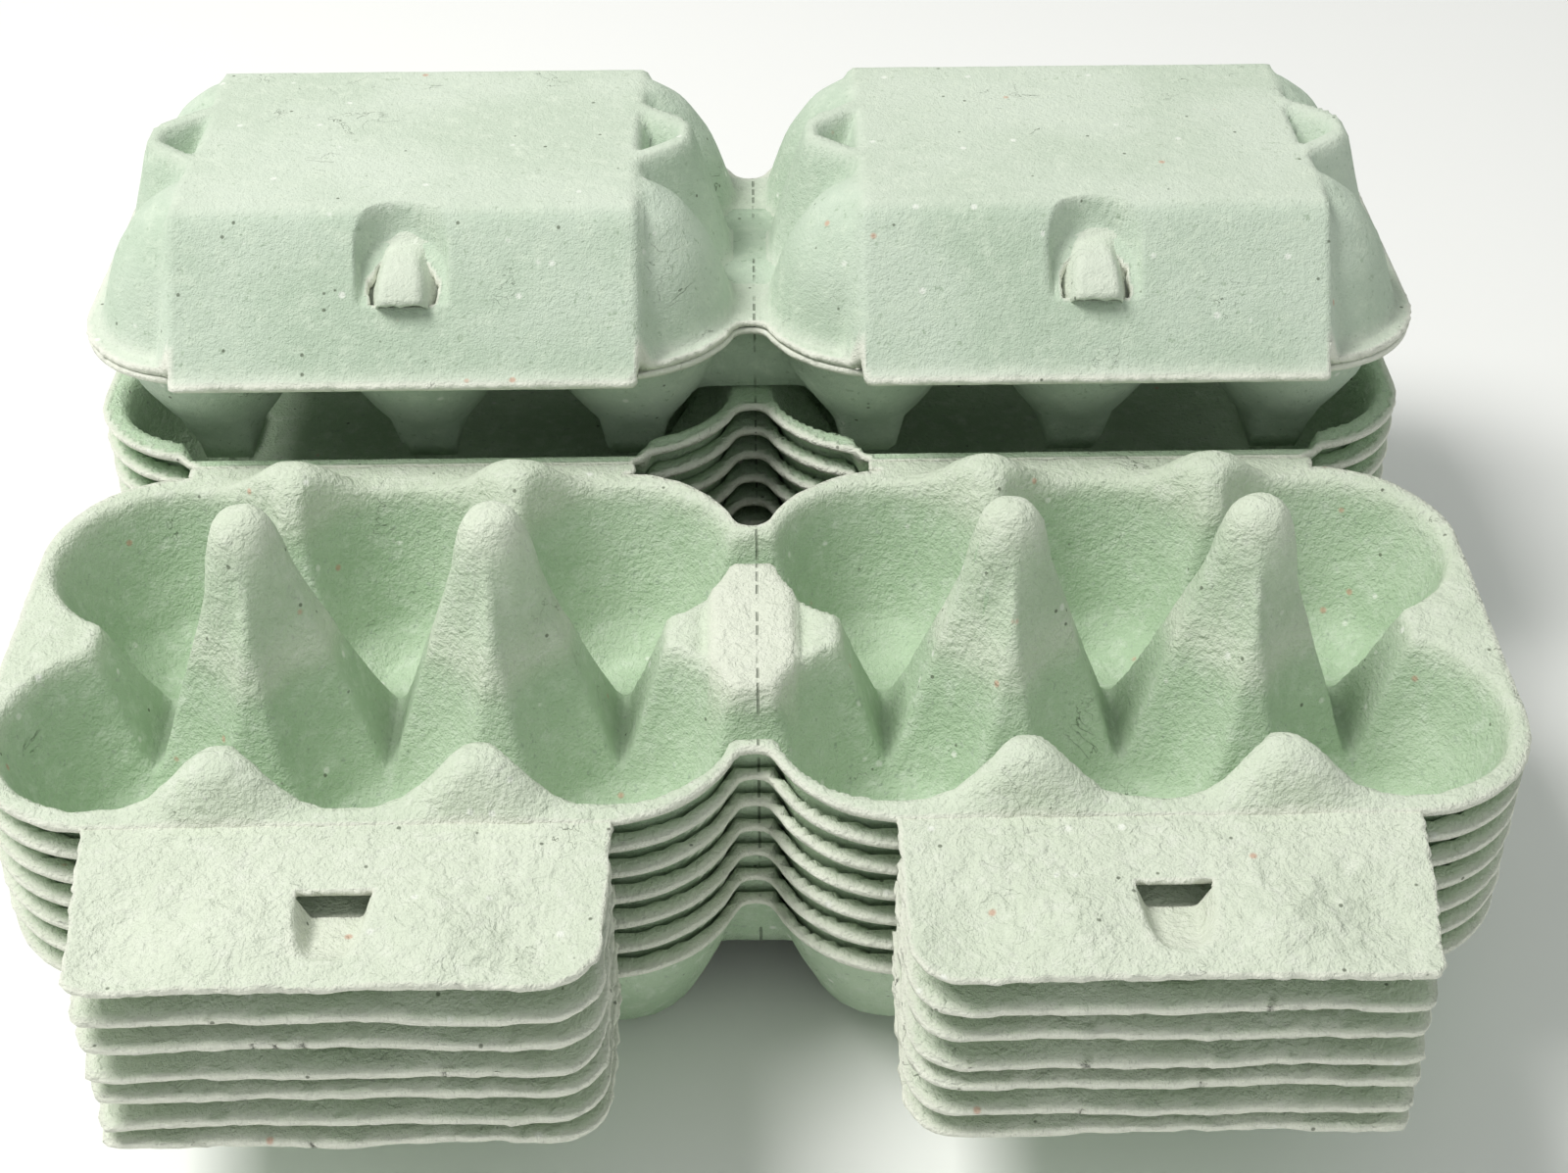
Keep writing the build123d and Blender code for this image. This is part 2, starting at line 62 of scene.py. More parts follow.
CUP_LINE = [(6.0, -33.0), (13.5, -28.0), (23.6 - 15.5 * DRAFT_RUN, -15.5),
            (23.6 + 60.0 * DRAFT_RUN, 60.0)]
SLIM_CUP_LINE = [(5.0, -33.0), (7.0, -26.5), (12.0, -20.0), (17.0, -12.0), (20.5, -3.0),
                 (37.0, 40.0)]
SLIM_SADDLE_Z = -8.0                 # between the slim cups of the closed carton
FOOT_X, FOOT_RUN, FOOT_SIDE_RUN = 4.6, 0.36, 0.06   # flat band down the front of a slim cup
VALLEY_Z, VALLEY_FLOOR, VALLEY_RUN = -26.5, 1.0, math.tan(math.radians(18.6))
VALLEY_SWAY = 0.004                  # a valley between two rows rises with the square of y
BRIDGE_Z = -18.4
POST_Z, POST_TIP_DROP = 30.5, 0.9
POST_LEAN, POST_FALL = 0.5, 0.085    # posts lean outwards; their tip falls with radius squared
KNOB, KNOB_FALL, KNOB_SQUASH = 7.0, 9.0, 0.92   # rounded tip of a blunt post
BUMP_Z, REAR_BUMP_DROP = 9.5, 1.0
BUMP_X, BUMP_Y, BUMP_BACK_Y = 10.5, 45.5, 26.0
BUMP_FOOT_Y, BUMP_FRONT_RUN, BUMP_BACK_RUN = 54.0, 6.5, 10.0
PAD_X, PAD_Y, PAD_Z, PAD_CORNER = 8.4, 20.5, 2.0, 6.5   # raised pad in the middle of the bridge
PAD_EDGE, GROOVE_DEPTH = 1.3, 0.9
TRAY_HEIGHT = 34.5
CREASE_Y, FLAP_X, FLAP_LENGTH = 57.0, 48.3, 36.0
FLAP_TAPER_OUTER, FLAP_TAPER_INNER = 4.5, 0.7
FLAP_DROOP, FLAP_LEAN = 2.0, 43.5
NOSE_Y, NOSE_LENGTH, NOSE_DEPTH = 15.0, 15.0, 5.5
NOSE_X, NOSE_TAPER, NOSE_SIDE = 7.2, 2.8, 3.0
SLOT_X, SLOT_LENGTH = 6.9, 1.5       # slot in front of the nose
FREE_FLAP_Y = 55.2                   # start of the rear strips on the carton with free flaps
FREE_FLAP_ROOT = 3.2                 # how far a free flap's sheet reaches in behind its crease
HINGE_Y, HINGE_X = 58.5, 48.0
LID_Y, LID_Z = 117.0, 31.0
PANEL_X, PANEL_FRONT, PANEL_REAR = 50.0, 38.0, 35.0
LIP_FRONT, LIP_REAR = 61.0, 57.0
LID_GAP = 0.4
DOME_LINE = [(24.0, 0.0), (22.3, 5.44), (18.6, 16.3), (12.6, 25.1), (5.5, 30.2)]
EAR_PLAN = [(44.0, -15.0), (50.0, -15.0), (58.5, -8.0), (61.0, -4.0),
            (61.0, 4.0), (58.5, 8.0), (50.0, 15.0), (44.0, 15.0)]
POCKET_PLAN = [(49.2, -10.5), (58.2, -2.4), (58.2, 2.4), (49.2, 10.5)]
POCKET_DEPTH = 9.0
HOLE_LOW, HOLE_HIGH, HOLE_HALF = 18.6, 35.5, 7.4
RECESS_BORDER, RECESS_DEPTH, RECESS_HIGH = 2.2, 4.7, 44.0
RECESS_SPAN, RECESS_Y = 11.0, (-52.0, -33.0)   # finely meshed part around a recess
RECESS_FLOOR, RECESS_EDGE = 0.4, 0.9   # least depth of the recess, run of its side
ARCH_RISE = 1.4                      # height of an arch's oval top over its half width
POCKET_SLOPE = 2.6

FAR = 99.0                           # higher and farther than anything in a carton
PLAN_X, PLAN_FRONT_Y = 148.5, 58.0   # ends of the plan's grids
OPEN_LID_REAR_Y, LID_FRONT_Y, LID_REAR_Y = 179.0, 62.0, 59.5

# Distances between grid lines (mm)
TOP_STEP, TOP_LID_STEP, NESTED_STEP, NESTED_FLAP_STEP = 1.15, 1.5, 1.9, 1.7
CLOSED_STEP, CLOSED_FLAP_STEP, FREE_FLAP_STEP = 1.75, 1.0, 0.62
COVER_STEP_X, COVER_STEP_Y, COVER_FINE_X, COVER_FINE_Y = 1.25, 1.2, 0.6, 0.55

reach = LID_Y + PANEL_FRONT - HINGE_Y
LID_TILT = math.asin(TRAY_HEIGHT / math.hypot(LID_Z, reach)) - math.atan2(LID_Z, reach)
TOP_RIM = TRAY_HEIGHT + (OPEN_CARTONS - 1) * NEST_PITCH
CLOSED_RISE = -BRIDGE_Z + WALL + 0.1
FRONT = -(CREASE_Y + FLAP_LENGTH * math.cos(math.radians(FLAP_DROOP)))
REAR = HINGE_Y + (LID_Y - HINGE_Y + LIP_FRONT) * math.cos(LID_TILT)
CENTRE_Y = (FRONT + REAR) / 2


# Noise: value noise on a square lattice, its corners joined by a smooth step

def lattice(i, j, seed):
    """A fixed pseudo-random number from 0 to 1 for each lattice corner."""
    h = np.sin(i * 127.1 + j * 311.7 + seed * 74.7) * 43758.5453
    return h - np.floor(h)


def noise(x, y, size, seed):
    """Smooth noise from -1 to 1 whose bumps are about one size wide."""
    u, v = x / size, y / size
    i, j = np.floor(u), np.floor(v)
    a, b = u - i, v - j
    a, b = a * a * (3 - 2 * a), b * b * (3 - 2 * b)
    low = lattice(i, j, seed) * (1 - a) + lattice(i + 1, j, seed) * a
    high = lattice(i, j + 1, seed) * (1 - a) + lattice(i + 1, j + 1, seed) * a
    return 2 * (low * (1 - b) + high * b) - 1


def rough(x, y, size, seed, octaves=3):
    """Noise with finer and finer layers, each half as high as the one before."""
    total = np.zeros(np.broadcast(x, y).shape)
    for k in range(octaves):
        total = total + noise(x + 17.3 * k, y - 9.1 * k, size / 2 ** k, seed + k) / 2 ** k
    return total / 1.5


# Plan shapes: distance to an outline, negative inside

def low(a, b, k):
    """The lower of two surfaces, with the ridge between them rounded over k."""
    h = np.maximum(k - np.abs(a - b), 0) / k
    return np.minimum(a, b) - h * h * k / 4


def high(a, b, k):
    """The higher of two surfaces, with the valley between them rounded over k."""
    return -low(-a, -b, k)


def rounded(x, y, cx, cy, hx, hy, r):
    """Distance to a rectangle with rounded corners."""
    qx, qy = np.abs(x - cx) - hx + r, np.abs(y - cy) - hy + r
    return np.hypot(np.maximum(qx, 0), np.maximum(qy, 0)) + np.minimum(np.maximum(qx, qy), 0) - r


def polygon(x, y, points):
    """Distance to a polygon."""
    inside = np.zeros(np.broadcast(x, y).shape, bool)
    best = np.full(inside.shape, 1e9)
    for (ax, ay), (bx, by) in zip(points, points[1:] + points[:1]):
        ex, ey, wx, wy = bx - ax, by - ay, x - ax, y - ay
        t = np.clip((wx * ex + wy * ey) / (ex * ex + ey * ey), 0, 1)
        best = np.minimum(best, np.hypot(wx - ex * t, wy - ey * t))
        cross = (ay > y) != (by > y)
        inside ^= cross & (wx < ex * wy / (ey if ey else 1e-9))
    return np.where(inside, -best, best)


def arch(x, s, half, bottom, top):
    """Distance to an arch: straight sides and a tall oval top."""
    spring = top - ARCH_RISE * half
    box = rounded(x, s, 0, (bottom + spring) / 2, half, (spring - bottom) / 2, 0.8)
    return np.minimum(box, np.hypot(x, np.maximum(s - spring, 0) / ARCH_RISE) - half
                      + FAR * (s < spring - 1.0))


def offset(line, distance):
    """A line of (radius, level) points moved sideways, its corners mitred."""
    out, parts = [], []
    for (r0, z0), (r1, z1) in zip(line, line[1:]):
        n = math.hypot(r1 - r0, z1 - z0)
        nr, nz = (z1 - z0) / n, -(r1 - r0) / n
        parts.append((nr, nz, nr * r0 + nz * z0 + distance))
    out.append((line[0][0] + parts[0][0] * distance, line[0][1] + parts[0][1] * distance))
    for (a, b, c), (d, e, f) in zip(parts, parts[1:]):
        det = a * e - b * d
        out.append(((c * e - b * f) / det, (a * f - c * d) / det))
    out.append((line[-1][0] + parts[-1][0] * distance, line[-1][1] + parts[-1][1] * distance))
    return out


def turned(r, line, soften=1.4):
    """Height of a body turned about an axis, at distance r from it, its corners softened."""
    points = sorted(line)
    rs = np.arange(-4.0, 110.0, 0.1)
    zs = np.interp(np.abs(rs), [p[0] for p in points], [p[1] for p in points])
    last = (points[-1][1] - points[-2][1]) / (points[-1][0] - points[-2][0])
    zs = zs + np.maximum(np.abs(rs) - points[-1][0], 0) * last
    window = np.hanning(int(soften / 0.1) * 2 + 1)
    zs = np.convolve(np.pad(zs, len(window) // 2, mode="edge"), window / window.sum(), "valid")
    return np.interp(r, rs, zs)


# Height fields of the sheet. t is 0 for the upper side and WALL for the underside.

def tray(x, y, t, blunt=False, slim=False):
    """Height of the tray: rim, posts and bumps, with the cups and valleys pressed in.

    Blunt posts get a rounded knob at the tip. Slim cups are narrower towards the bottom, with
    a flat band down the front, and stand further apart, as seen under the closed lid.
    """
    ax, ay = np.abs(x), np.abs(y)
    flat = np.full(np.broadcast(x, y).shape, 0.0) - t
    z = flat
    for px in (HALF_X - POST_X, HALF_X + POST_X):
        lean = POST_LEAN if px > HALF_X else -POST_LEAN
        r = np.hypot(ax - px - lean, y)
        z = high(z, POST_Z - POST_TIP_DROP - 1.25 * t - POST_FALL * r ** 2, 2.0)
        bell = np.exp(-(np.abs(ax - px) / BUMP_X) ** 2.5)
        front = 1 - (1 - np.clip((BUMP_FOOT_Y - ay) / BUMP_FRONT_RUN, 0, 1)) ** 2
        front = front * (1 - np.clip((BUMP_Y - ay) / BUMP_BACK_RUN, 0, 1) ** 2)
        lift = np.where(y < 0, BUMP_Z, BUMP_Z - REAR_BUMP_DROP)
        z = np.maximum(z, flat + lift * bell * front * (ay > BUMP_BACK_Y) - 0.6 * t * bell)
    sec = t * math.sqrt(1 + VALLEY_RUN ** 2)
    line = SLIM_CUP_LINE if slim else CUP_LINE
    line = offset(line, t) if t else line
    pressed = np.full(z.shape, FAR)
    for cx in (HALF_X - CUP_PITCH, HALF_X, HALF_X + CUP_PITCH):
        pressed = low(pressed, turned(np.hypot(ax - cx, ay - ROW_Y), line), 1.8)
        if slim:
            side = (np.abs(ax - cx) - FOOT_X - t) / FOOT_SIDE_RUN
            face = (np.abs(ay - ROW_Y) - FOOT_X - t) / FOOT_RUN
            foot = SLIM_CUP_LINE[0][1] - t + np.maximum(np.maximum(side, face), 0)
            pressed = low(pressed, foot, 1.0)
        d = np.maximum(np.abs(ax - cx) - VALLEY_FLOOR - (sec - t * VALLEY_RUN), 0)
        column = VALLEY_Z - t + d / VALLEY_RUN + VALLEY_SWAY * y * y
        pressed = low(pressed, np.where(ay < ROW_Y, column, FAR), 2.2)
    d = np.maximum(np.abs(ay - ROW_Y) - VALLEY_FLOOR - (sec - t * VALLEY_RUN), 0)
    row = (SLIM_SADDLE_Z if slim else VALLEY_Z) - t + d / VALLEY_RUN
    inner, outer = HALF_X - CUP_PITCH, HALF_X + CUP_PITCH
    pressed = low(pressed, np.where((ax > inner) & (ax < outer), row, FAR), 2.2)
    d = np.maximum(np.abs(ay - ROW_Y) - VALLEY_FLOOR
                   - (t * math.sqrt(1 + DRAFT_RUN ** 2) - t * DRAFT_RUN), 0)
    pressed = low(pressed, np.where(ax <= inner, BRIDGE_Z - t + d / DRAFT_RUN, FAR), 3.0)
    z = low(z, pressed, 1.9)
    pad = np.clip(0.5 - rounded(ax, y, 0, 0, PAD_X, PAD_Y, PAD_CORNER) / PAD_EDGE, 0, 1)
    groove = np.exp(-((ax - PAD_X - 1.6) / 1.3) ** 2) * np.exp(-(y / 7.0) ** 4)
    z = z + PAD_Z * pad * pad * (3 - 2 * pad) - GROOVE_DEPTH * groove
    if blunt:
        for px in (HALF_X - POST_X, HALF_X + POST_X):
            r = np.hypot((ax - px) * KNOB_SQUASH, y)
            knob = POST_Z - KNOB_FALL * (r / KNOB) ** 4 - 0.9 * t
            z = high(z, np.where(r < 1.25 * KNOB, knob, -FAR), 2.0)
    return z


def lid(x, y, t):
    """Height of the closed lid's outer side above its rim; t > 0 gives the inner side."""
    u, v = np.abs(x) - HALF_X, y
    front_run = (LIP_FRONT - PANEL_FRONT) / LID_Z
    rear_run = (LIP_REAR - PANEL_REAR) / LID_Z
    front_in, rear_in = t * math.sqrt(1 + front_run ** 2), t * math.sqrt(1 + rear_run ** 2)
    zf = (v + LIP_FRONT - front_in) / front_run
    zr = (LIP_REAR - rear_in - v) / rear_run
    z = low(low(zf, zr, 3.0), np.full(u.shape, LID_Z - t), 3.5)
    end = np.maximum(np.abs(u) - PANEL_X + 0.7 * t, 0) / DRAFT_RUN
    z = z - end
    line = offset(DOME_LINE, -t) if t else DOME_LINE
    z = high(z, turned(np.hypot(np.abs(u) - CUP_PITCH, np.abs(v) - ROW_Y), line, 2.5), 1.2)
    edge = t * (math.sqrt(1 + DRAFT_RUN ** 2) - DRAFT_RUN)
    out = polygon(np.abs(u), v, EAR_PLAN)
    out = high(out, np.full(u.shape, -1.0), 2.0) + edge
    ear = LID_Z - t - np.maximum(out, 0) / DRAFT_RUN - np.clip(PANEL_X - np.abs(u), 0, 2)
    z = high(z, ear, 1.5)
    hollow = -polygon(np.abs(u), v, POCKET_PLAN) + t
    z = low(z, LID_Z - t - np.clip(hollow * POCKET_SLOPE, -40, POCKET_DEPTH), 1.5)
    slope = math.hypot(LIP_FRONT - PANEL_FRONT, LID_Z)
    s = (v + LIP_FRONT) * slope / (LIP_FRONT - PANEL_FRONT)
    rim = arch(u, s, HOLE_HALF + RECESS_BORDER + t, HOLE_LOW - t, RECESS_HIGH + t)
    along = np.clip((s - HOLE_LOW) / (HOLE_HIGH + 2 - HOLE_LOW), 0, 1.15)
    deep = RECESS_FLOOR + RECESS_DEPTH * along
    floor = zf - deep * slope / (LIP_FRONT - PANEL_FRONT)
    inside = np.clip(0.5 - rim / RECESS_EDGE, 0, 1) * (v < 0)
    z = np.where(inside > 0, np.minimum(z, z + (floor - z) * inside), z)
    return z


def half_outline(x, y):
    """Rim outline of both halves with the web between them."""
    ax = np.abs(x)
    centre = HALF_X + (RIM_OUTER - RIM_INNER) / 2
    rim = rounded(ax, y, centre, 0, (RIM_INNER + RIM_OUTER) / 2, RIM_Y, RIM_CORNER)
    return low(rim, rounded(ax, y, 0, 0, WEB_X, WEB_Y, 0.5), 3.0)


def lid_hole(x, y):
    """Distance to the lock holes' outline, in the lid's plan."""
    u = np.abs(x) - HALF_X
    slope = math.hypot(LIP_FRONT - PANEL_FRONT, LID_Z)
    s = (y + LIP_FRONT) * slope / (LIP_FRONT - PANEL_FRONT)
    ragged = 0.5 * rough(x, s, 3.0, 41) + 0.25 * noise(x, s, 1.1, 43)
    return arch(u, s, HOLE_HALF, HOLE_LOW, HOLE_HIGH) + ragged


def lid_outline(x, y):
    """Outline of the closed lids: the rim, and the foot of the walls that stand out past it."""
    u = np.abs(x) - HALF_X
    walls = rounded(u, y, 0, (LIP_REAR - LIP_FRONT) / 2,
                    PANEL_X - 0.3, (LIP_REAR + LIP_FRONT) / 2, 1.5)
    return np.maximum(low(half_outline(x, y), walls, 3.5), -lid_hole(x, y))


def tray_outline(front):
    """Outline of a tray's rim and of its hinge strips, which reach from -front to the hinge."""
    def distance(x, y):
        u = np.abs(x) - HALF_X
        rear = HINGE_Y - 0.2
        strips = rounded(u, y, 0, (rear - front) / 2, FLAP_X, (rear + front) / 2, 0.3)
        return low(half_outline(x, y), strips, 1.0)
    return distance


def open_lid_outline(x, y):
    """Outline of the lids laid open behind the tray, with their part of the hinge."""
    u = np.abs(x) - HALF_X
    web = rounded(u, y, 0, HINGE_Y + 3.0, HINGE_X, 3.2, 0.3)
    return low(lid_outline(x, LID_Y - y), web, 1.0)


def open_upper(x, y):
    return -high(lid(x, LID_Y - y, WALL), np.zeros(np.broadcast(x, y).shape), 1.5)


def open_under(x, y):
    return -high(lid(x, LID_Y - y, 0), np.full(np.broadcast(x, y).shape, WALL), 1.5)


def nose(a, w, press):
    """How far the flap's surface is pressed down, a across and w along from its crease."""
    along = np.clip((w - NOSE_Y) / NOSE_LENGTH, 0, 1)
    depth = press * (1 - along ** 2.2) * (w > NOSE_Y - 0.05) * (w < NOSE_Y + NOSE_LENGTH)
    wide = NOSE_X - NOSE_TAPER * along ** 2
    side = np.clip((wide - np.abs(a)) / NOSE_SIDE, 0, 1)
    return depth * side * side * (3 - 2 * side)


def flap_outline(start, seed):
    """Outline of one flap, x across from its middle (outer side positive) and y from the crease."""
    def distance(x, y):
        w = -y
        body = polygon(x, w, [(-FLAP_X, start), (FLAP_X, start),
                              (FLAP_X - FLAP_TAPER_OUTER, FLAP_LENGTH),
                              (FLAP_TAPER_INNER - FLAP_X, FLAP_LENGTH)])
        inner_end = 60 - FLAP_X + FLAP_TAPER_INNER * w / FLAP_LENGTH
        outer_end = FLAP_X - 60 - FLAP_TAPER_OUTER * w / FLAP_LENGTH
        inner = rounded(x, w, inner_end, 0, 60, FLAP_LENGTH, 10)
        outer = rounded(x, w, outer_end, 0, 60, FLAP_LENGTH, 3)
        body = np.maximum(np.maximum(body, inner), outer)
        body = body + 0.35 * rough(x, w, 7.0, seed) + 0.2 * noise(x, w, 1.7, seed + 5) + 0.35
        slot = rounded(x, w, 0, NOSE_Y - SLOT_LENGTH / 2, SLOT_X, SLOT_LENGTH / 2, 0.2)
        return np.maximum(body, -slot)
    return distance


# Meshes

def noise3(p, size, seed):
    """Smooth noise in space from -1 to 1, for points p (n, 3)."""
    q = p / size
    i = np.floor(q)
    f = q - i
    f = f * f * (3 - 2 * f)
    total = 0.0
    for dz in (0, 1):
        level = 0.0
        for dy in (0, 1):
            for dx in (0, 1):
                corner = lattice(i[:, 0] + dx, i[:, 1] + dy, (i[:, 2] + dz) * 0.731 + seed)
                wx = f[:, 0] if dx else 1 - f[:, 0]
                wy = f[:, 1] if dy else 1 - f[:, 1]
                level = level + corner * wx * wy
        total = total + level * (f[:, 2] if dz else 1 - f[:, 2])
    return 2 * total - 1


def axis_lines(low_end, high_end, step, exact=()):
    """Grid lines from one end to the other, some of them moved to exact places."""
    lines = np.linspace(low_end, high_end, max(2, int(round((high_end - low_end) / step)) + 1))
    for value in exact:
        lines[np.argmin(np.abs(lines - value))] = value
    return lines


def graded_lines(low_end, high_end, step, fine, spans):
    """Grid lines one step apart, closer together inside the given spans."""
    lines = [low_end]
    while lines[-1] < high_end:
        lines.append(lines[-1] + (fine if any(a < lines[-1] < b for a, b in spans) else step))
    return np.array(lines)


class Patch:
    """Part of a mesh: points in millimetres, four-cornered faces and a paleness value per point,
    partly wear and partly painted light.
    """

    def __init__(self, points, faces, wear_and_painted_light):
        self.points, self.faces, self.wear_and_painted_light = points, faces, wear_and_painted_light

    def moved(self, matrix):
        """The patch carried by a 4 x 4 matrix."""
        m = np.array(matrix)
        return Patch(self.points @ m[:3, :3].T + m[:3, 3], self.faces, self.wear_and_painted_light)


def sheet(xs, ys, outline, upper, under, seed, relief=0.22, fray=0.22, tone=None):
    """A moulded sheet over a plan: z = upper(x, y) above and z = under(x, y) below.

    Grid points near the outline move onto it; both sides are joined by a rounded, uneven edge.
    The tone function gives how pale and rough each point of the upper side is, from 0 to 1,
    the paleness partly painted light; fray is how far the edge's fibres stand out.
    """
    x, y = np.meshgrid(np.asarray(xs, float), np.asarray(ys, float))
    step = max(np.diff(xs).max(), np.diff(ys).max())
    keep = outline((x[:-1, :-1] + x[1:, 1:]) / 2, (y[:-1, :-1] + y[1:, 1:]) / 2) < 0
    count = np.zeros(x.shape, int)
    for di in (0, 1):
        for dj in (0, 1):
            count[di:di + keep.shape[0], dj:dj + keep.shape[1]] += keep
    border = (count > 0) & (count < 4)
    bx, by = x[border], y[border]
    e = 0.05
    for _ in range(3):
        d = outline(bx, by)
        gx = (outline(bx + e, by) - outline(bx - e, by)) / (2 * e)
        gy = (outline(bx, by + e) - outline(bx, by - e)) / (2 * e)
        g = np.maximum(gx * gx + gy * gy, 0.2)
        d = np.clip(d, -0.8 * step, 0.8 * step)
        bx, by = bx - d * gx / g, by - d * gy / g
    x[border], y[border] = bx, by
    size = np.sqrt(gx * gx + gy * gy) + 1e-9
    out = np.zeros(x.shape + (2,))
    out[border] = np.stack([gx / size, gy / size], -1)
    index = np.full(x.shape, -1)
    used = count > 0
    total = int(used.sum())
    index[used] = np.arange(total)
    ux, uy = x[used], y[used]
    top = np.stack([ux, uy, upper(ux, uy)], -1)
    bottom = np.stack([ux, uy, under(ux, uy)], -1)
    a, b = index[:-1, :-1][keep], index[:-1, 1:][keep]
    c, d = index[1:, 1:][keep], index[1:, :-1][keep]
    faces = np.stack([a, b, c, d], -1)
    edges = np.concatenate([faces[:, [k, (k + 1) % 4]] for k in range(4)])
    key = edges[:, 0] * total + edges[:, 1]
    back = edges[:, 1] * total + edges[:, 0]
    rim = edges[~np.isin(key, back)]
    normal = np.zeros((total, 3))
    for i, j, k in ((0, 1, 2), (0, 2, 3)):
        n = np.cross(top[faces[:, j]] - top[faces[:, i]], top[faces[:, k]] - top[faces[:, i]])
        for corner in (i, j, k):
            np.add.at(normal, faces[:, corner], n)
    normal /= np.linalg.norm(normal, axis=1, keepdims=True) + 1e-9
    bumps = (0.55 * noise3(top, 5.0, seed) + 0.35 * noise3(top, 2.3, seed + 3)
             + 0.25 * noise3(top, 11.0, seed + 7))
    pale = tone(top) if tone else np.zeros(total)
    top = top + normal * (relief * (0.5 + np.minimum(pale, 0.6)) * bumps)[:, None]
    bottom = bottom + normal * (relief * 0.7 * noise3(bottom, 4.0, seed + 11))[:, None]
    ring = np.unique(rim)
    slot = np.full(total, -1)
    slot[ring] = np.arange(len(ring))
    push = out[used][ring]
    fringe = (0.25 + fray * noise3(top[ring], 1.5, seed + 13)
              + 0.15 * noise3(top[ring], 6.0, seed + 17))
    middle = (top[ring] + bottom[ring]) / 2
    middle[:, :2] += push * fringe[:, None]
    middle[:, 2] += 0.25 * noise3(middle, 3.0, seed + 19)
    ra, rb = rim[:, 0], rim[:, 1]
    ma, mb = slot[ra] + 2 * total, slot[rb] + 2 * total
    sides = np.concatenate([np.stack([ra, ma, mb, rb], -1),
                            np.stack([ma, ra + total, rb + total, mb], -1)])
    # Paleness per point: the upper side's tone, partly painted light; none below; torn edges paler
    # as wear
    wear_and_painted_light = np.concatenate([pale, np.zeros(total), np.ones(len(ring))])
    wear_and_painted_light[ring] = wear_and_painted_light[ring + total] = 0.9
    return Patch(np.concatenate([top, bottom, middle]),
                 np.concatenate([faces, faces[:, ::-1] + total, sides]), wear_and_painted_light)


def placed(x=0.0, y=0.0, z=0.0, turn=0.0, pivot=(0.0, 0.0)):
    """A matrix that turns about X by radians at a (y, z) pivot, then moves."""
    py, pz = pivot
    return (Matrix.Translation((x, y + py, z + pz)) @ Matrix.Rotation(turn, 4, "X")
            @ Matrix.Translation((0, -py, -pz)))


def make(name, patches, body, nodes, material):
    """One mesh object from patches, in the row frame, standing for CAD nodes."""
    points, faces, wear_and_painted_light, count = [], [], [], 0
    for p in patches:
        faces.append(p.faces + count)
        points.append(p.points)
        wear_and_painted_light.append(p.wear_and_painted_light)
        count += len(p.points)
    points, faces = np.concatenate(points), np.concatenate(faces)
    points = (points - [0.0, CENTRE_Y, 0.0]) * 0.001
    mesh = bpy.data.meshes.new(name)
    mesh.vertices.add(len(points))
    mesh.vertices.foreach_set("co", points.astype(np.float32).ravel())
    mesh.loops.add(faces.size)
    mesh.loops.foreach_set("vertex_index", faces.astype(np.int32).ravel())
    mesh.polygons.add(len(faces))
    mesh.polygons.foreach_set("loop_start", (np.arange(len(faces)) * 4).astype(np.int32))
    mesh.polygons.foreach_set("loop_total", np.full(len(faces), 4, np.int32))
    mesh.polygons.foreach_set("use_smooth", np.ones(len(faces), bool))
    mesh.update(calc_edges=True)
    mesh.validate()
    attribute = mesh.attributes.new("wear_and_painted_light", "FLOAT", "POINT")
    attribute.data.foreach_set("value", np.concatenate(wear_and_painted_light).astype(np.float32))
    mesh.materials.append(material)
    o = bpy.data.objects.new(name, mesh)
    bpy.context.scene.collection.objects.link(o)
    if body:
        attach(o, body)
    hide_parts(*nodes)
    return o


# Material: rough moulded pulp. Lengths here are in metres, scales in bumps per metre.

PERFORATION_X = 0.0009               # line of slits down the bridge
SLITS_PER_METRE, SLIT_GAP = 230.0, 0.3
CREAM = (0.86, 0.845, 0.765, 1)      # worn edges, and high parts painted paler as painted light
FELT_GREENS = (0.45, 0.59, 0.41, 1), (0.55, 0.675, 0.505, 1)
SCREEN_GREENS = (0.49, 0.60, 0.475, 1), (0.585, 0.68, 0.57, 1)
LIGHT_CLOUD, DARK_GRAIN = (0.64, 0.735, 0.605, 1), (0.42, 0.52, 0.40, 1)
CRACK_COLOUR, SLIT_COLOUR = (0.16, 0.20, 0.13, 1), (0.12, 0.15, 0.10, 1)
DARK_SPECK, PINK_FLECK, WHITE_FLECK = ((0.10, 0.12, 0.08, 1), (0.62, 0.36, 0.26, 1),
                                       (0.88, 0.90, 0.84, 1))


